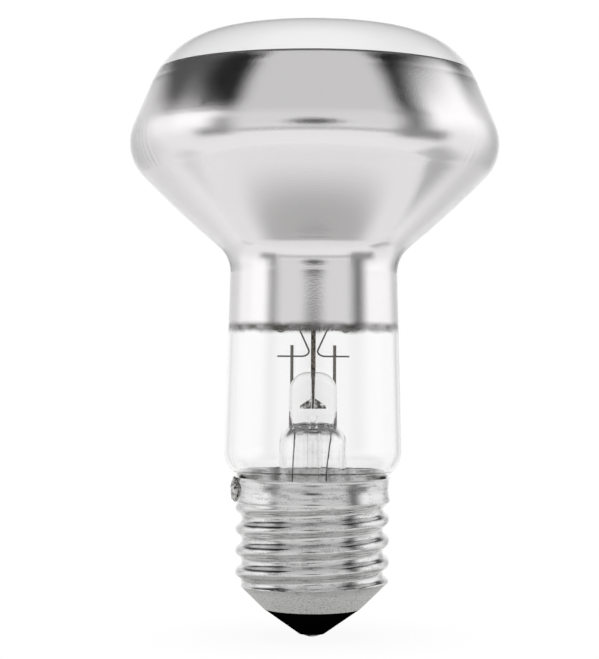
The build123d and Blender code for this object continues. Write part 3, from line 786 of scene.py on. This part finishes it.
class BULB_OT_stage(Operator):
    """Set up the floor, the studio round it and the camera"""

    bl_idname = "bulb.stage"
    bl_label = "Stage"

    def floor(self, settings):
        shape = bmesh.new()
        bmesh.ops.create_circle(shape, cap_ends=True, segments=96, radius=settings.floor_radius)
        floor = new_object("floor", new_mesh("floor", shape))
        # White paper sweep: white to the eye, and in mirrors a paper that keeps the object's shadow, with a
        # painted shade under the bowl
        material = bpy.data.materials.new("White paper sweep")
        tree = bare_tree(material)
        end = add(tree, "ShaderNodeOutputMaterial")
        place = add(tree, "ShaderNodeTexCoord").outputs["Object"]
        away = add(tree, "ShaderNodeVectorMath", place, operation="LENGTH")
        # Close to the cap the camera sees a little less plain white, so that its shadow and the painted
        # shade under the bowl show
        contact_start, contact_end, contact_white = 8 * MM, 30 * MM, 0.93
        contact = add(tree, "ShaderNodeMapRange", away, contact_start, contact_end, contact_white, 1.0)
        ray = add(tree, "ShaderNodeLightPath").outputs
        mirrored = add(tree, "ShaderNodeMath", ray["Is Glossy Ray"], ray["Is Transmission Ray"],
                       operation="MAXIMUM")
        mirrored = add(tree, "ShaderNodeMath", mirrored, settings.floor_glow, operation="MULTIPLY")
        share = add(tree, "ShaderNodeMix", ray["Is Camera Ray"], named={
            NUMBER_A: mirrored, NUMBER_B: contact})
        # Painted soft shade under the bowl, drawn into the paper's colour, as the mirror shows it
        drawn_in = add(tree, "ShaderNodeVectorMath", place, (1 / settings.shade_stretch, 1.0, 1.0),
                       operation="MULTIPLY")
        near = add(tree, "ShaderNodeVectorMath", drawn_in, operation="LENGTH")
        shade = add(tree, "ShaderNodeMapRange", near, settings.shade_start, settings.shade_end,
                    settings.shade_level, 1.0, interpolation_type="SMOOTHSTEP")
        shaded = add(tree, "ShaderNodeVectorMath", settings.floor_colour[:3], operation="SCALE",
                     named={"Scale": shade})
        paper = add(tree, "ShaderNodeBsdfDiffuse", shaded)
        seen = add(tree, "ShaderNodeMix", ray["Is Camera Ray"], data_type="RGBA", named={
            COLOUR_A: shaded, COLOUR_B: linear("#ffffff")})
        white = add(tree, "ShaderNodeEmission", seen, 1.0)
        both = add(tree, "ShaderNodeMixShader", share, paper, white)
        connect(tree, end, {"Surface": both})
        coat(floor, material)

    def studio(self):
        """The tent that mirrors and glass see; matt pieces and the camera see an even white"""
        world = bpy.data.worlds.new("Studio")
        bpy.context.scene.world = world
        tree = bare_tree(world)
        end = add(tree, "ShaderNodeOutputWorld")
        way = add(tree, "ShaderNodeTexCoord").outputs["Generated"]
        way = add(tree, "ShaderNodeSeparateXYZ", way).outputs
        front = add(tree, "ShaderNodeMath", way["Y"], -1.0, operation="MULTIPLY")
        side = add(tree, "ShaderNodeMath", way["X"], front, operation="ARCTAN2")
        rise = add(tree, "ShaderNodeMath", way["Z"], operation="ARCSINE")
        # Each panel's left and right side as compass angles from the front, its lower and upper height
        # and the softness of its edges, all in degrees, and its brightness. Later ones hang in front.
        panels = {
            "dark ceiling": (-200, 200, 20, 100, 9, 0.1),
            "left dark corner": (-95, -55, 28, 100, 14, 0.02),
            "right dark corner": (55, 100, 30, 100, 14, 0.02),
            "roof sheet": (-200, 200, 66, 100, 8, 0.66),
            "left wall": (-160, -118, -30, 20, 10, 0.8),
            "right wall": (135, 162, -30, 20, 8, 0.72),
            "left softbox": (-105, -60, -6, 28, 14, 1.2),
            "left softbox's far end": (-125, -100, -6, 17, 12, 1.1),
            "right softbox": (78, 132, 0, 40, 14, 1.2),
            "front sheet": (-53, 57, -15, 100, 14, 0.79),
            "front sheet's top": (-52, 56, 25, 100, 12, 0.68),
            "front gap": (-50, 55, -22, -14, 5, 0.55),
            "left gap": (-66, -52, -20, 14, 11, 0.35),
            "left low gap": (-80, -54, -24, -9, 8, 0.35),
            "right gap": (55, 74, -26, 30, 11, 0.22),
            "right low gap": (56, 92, -26, -8, 8, 0.3),
            "left foot gap": (-130, -105, -46, -36, 6, 0.75),
            "right foot gap": (95, 135, -50, -32, 8, 0.5),
            "back sheet, left half": (-200, -158, -60, 16, 6, 0.98),
            "back sheet, right half": (158, 200, -60, 16, 6, 0.98),
        }
        # Brightness of the bare tent, and then of the tent with each panel in it
        bright = 0.95
        for name, (left, right, low, high, soft, level) in panels.items():
            mask = None
            for socket, first, last in ((side, left, right), (rise, low, high)):
                for edge, sign in ((first, 1), (last, -1)):
                    step = add(tree, "ShaderNodeMapRange", socket, radians(edge - sign * soft),
                               radians(edge + sign * soft), interpolation_type="SMOOTHSTEP")
                    mask = step if mask is None else add(
                        tree, "ShaderNodeMath", mask, step, operation="MULTIPLY")
            bright = add(tree, "ShaderNodeMix", mask, named={NUMBER_A: bright, NUMBER_B: level}, label=name)
        # The camera's dark disc, an oval that fades out from its middle
        disc_middle, disc_wide, disc_tall, disc_level = radians(-2), radians(14), radians(7), 0.1
        across = add(tree, "ShaderNodeMath", side, disc_wide, operation="DIVIDE")
        along = add(tree, "ShaderNodeMath", rise, disc_middle, operation="SUBTRACT")
        along = add(tree, "ShaderNodeMath", along, disc_tall, operation="DIVIDE")
        disc = add(tree, "ShaderNodeCombineXYZ", across, along, 0.0)
        disc = add(tree, "ShaderNodeVectorMath", disc, operation="LENGTH")
        disc = add(tree, "ShaderNodeMapRange", disc, 0.2, 1.8, 1.0, 0.0, interpolation_type="SMOOTHSTEP")
        bright = add(tree, "ShaderNodeMix", disc, label="camera", named={
            NUMBER_A: bright, NUMBER_B: disc_level})
        ray = add(tree, "ShaderNodeLightPath").outputs
        plain = add(tree, "ShaderNodeMath", ray["Is Camera Ray"], ray["Is Diffuse Ray"],
                    operation="MAXIMUM")
        shown = add(tree, "ShaderNodeMix", plain, named={NUMBER_A: bright, NUMBER_B: 1.0})
        light = add(tree, "ShaderNodeBackground", linear("#ffffff"), shown)
        connect(tree, end, {"Surface": light})

    def camera(self, settings):
        data = bpy.data.cameras.new("camera")
        data.lens = settings.lens
        data.sensor_width = 36.0
        camera = new_object("camera", data)
        camera.location = (0.0, -settings.distance, settings.height)
        aim = Euler((pi / 2 + settings.pitch, 0.0, settings.yaw)).to_matrix()
        roll = Euler((0.0, 0.0, settings.roll)).to_matrix()
        camera.rotation_euler = (aim @ roll).to_euler()
        bpy.context.scene.camera = camera

    def execute(self, context):
        settings = context.scene.bulb_stage
        self.floor(settings)
        self.studio()
        self.camera(settings)
        scene = context.scene
        scene.view_settings.view_transform = "Standard"
        # Light goes through up to a dozen glass skins in the neck
        scene.cycles.max_bounces = 32
        scene.cycles.transmission_bounces = 32
        scene.cycles.glossy_bounces = 12
        return {"FINISHED"}


class BULB_PT_panel(Panel):
    """Sizes and colours of the bulb, with a button for each piece"""

    bl_idname = "BULB_PT_panel"
    bl_label = "Reflector Bulb"
    bl_space_type = "VIEW_3D"
    bl_region_type = "UI"
    bl_category = "Bulb"

    def draw(self, context):
        for operator in OPERATORS:
            self.layout.operator(operator.bl_idname)
        for name in SETTINGS:
            settings = getattr(context.scene, name)
            box = self.layout.box()
            for key in settings.bl_rna.properties.keys():
                if key not in ("rna_type", "name"):
                    box.prop(settings, key)


SETTINGS = {
    "bulb_envelope": EnvelopeSettings,
    "bulb_coating": CoatingSettings,
    "bulb_filament": FilamentSettings,
    "bulb_cap": CapSettings,
    "bulb_solder": SolderSettings,
    "bulb_stage": StageSettings,
}
OPERATORS = (
    BULB_OT_envelope,
    BULB_OT_coating,
    BULB_OT_stem,
    BULB_OT_leads,
    BULB_OT_filament,
    BULB_OT_cap,
    BULB_OT_contact,
    BULB_OT_solder,
    BULB_OT_stage,
)


def register():
    for entry in (*SETTINGS.values(), *OPERATORS, BULB_PT_panel):
        bpy.utils.register_class(entry)
    for name, entry in SETTINGS.items():
        setattr(bpy.types.Scene, name, PointerProperty(type=entry))


def unregister():
    for name in SETTINGS:
        delattr(bpy.types.Scene, name)
    for entry in (BULB_PT_panel, *reversed(OPERATORS), *SETTINGS.values()):
        bpy.utils.unregister_class(entry)


def main():
    register()
    bpy.ops.bulb.envelope()
    bpy.ops.bulb.coating()
    bpy.ops.bulb.stem()
    bpy.ops.bulb.leads()
    bpy.ops.bulb.filament()
    bpy.ops.bulb.cap()
    bpy.ops.bulb.contact()
    bpy.ops.bulb.solder()
    bpy.ops.bulb.stage()


if __name__ == "__main__":
    main()
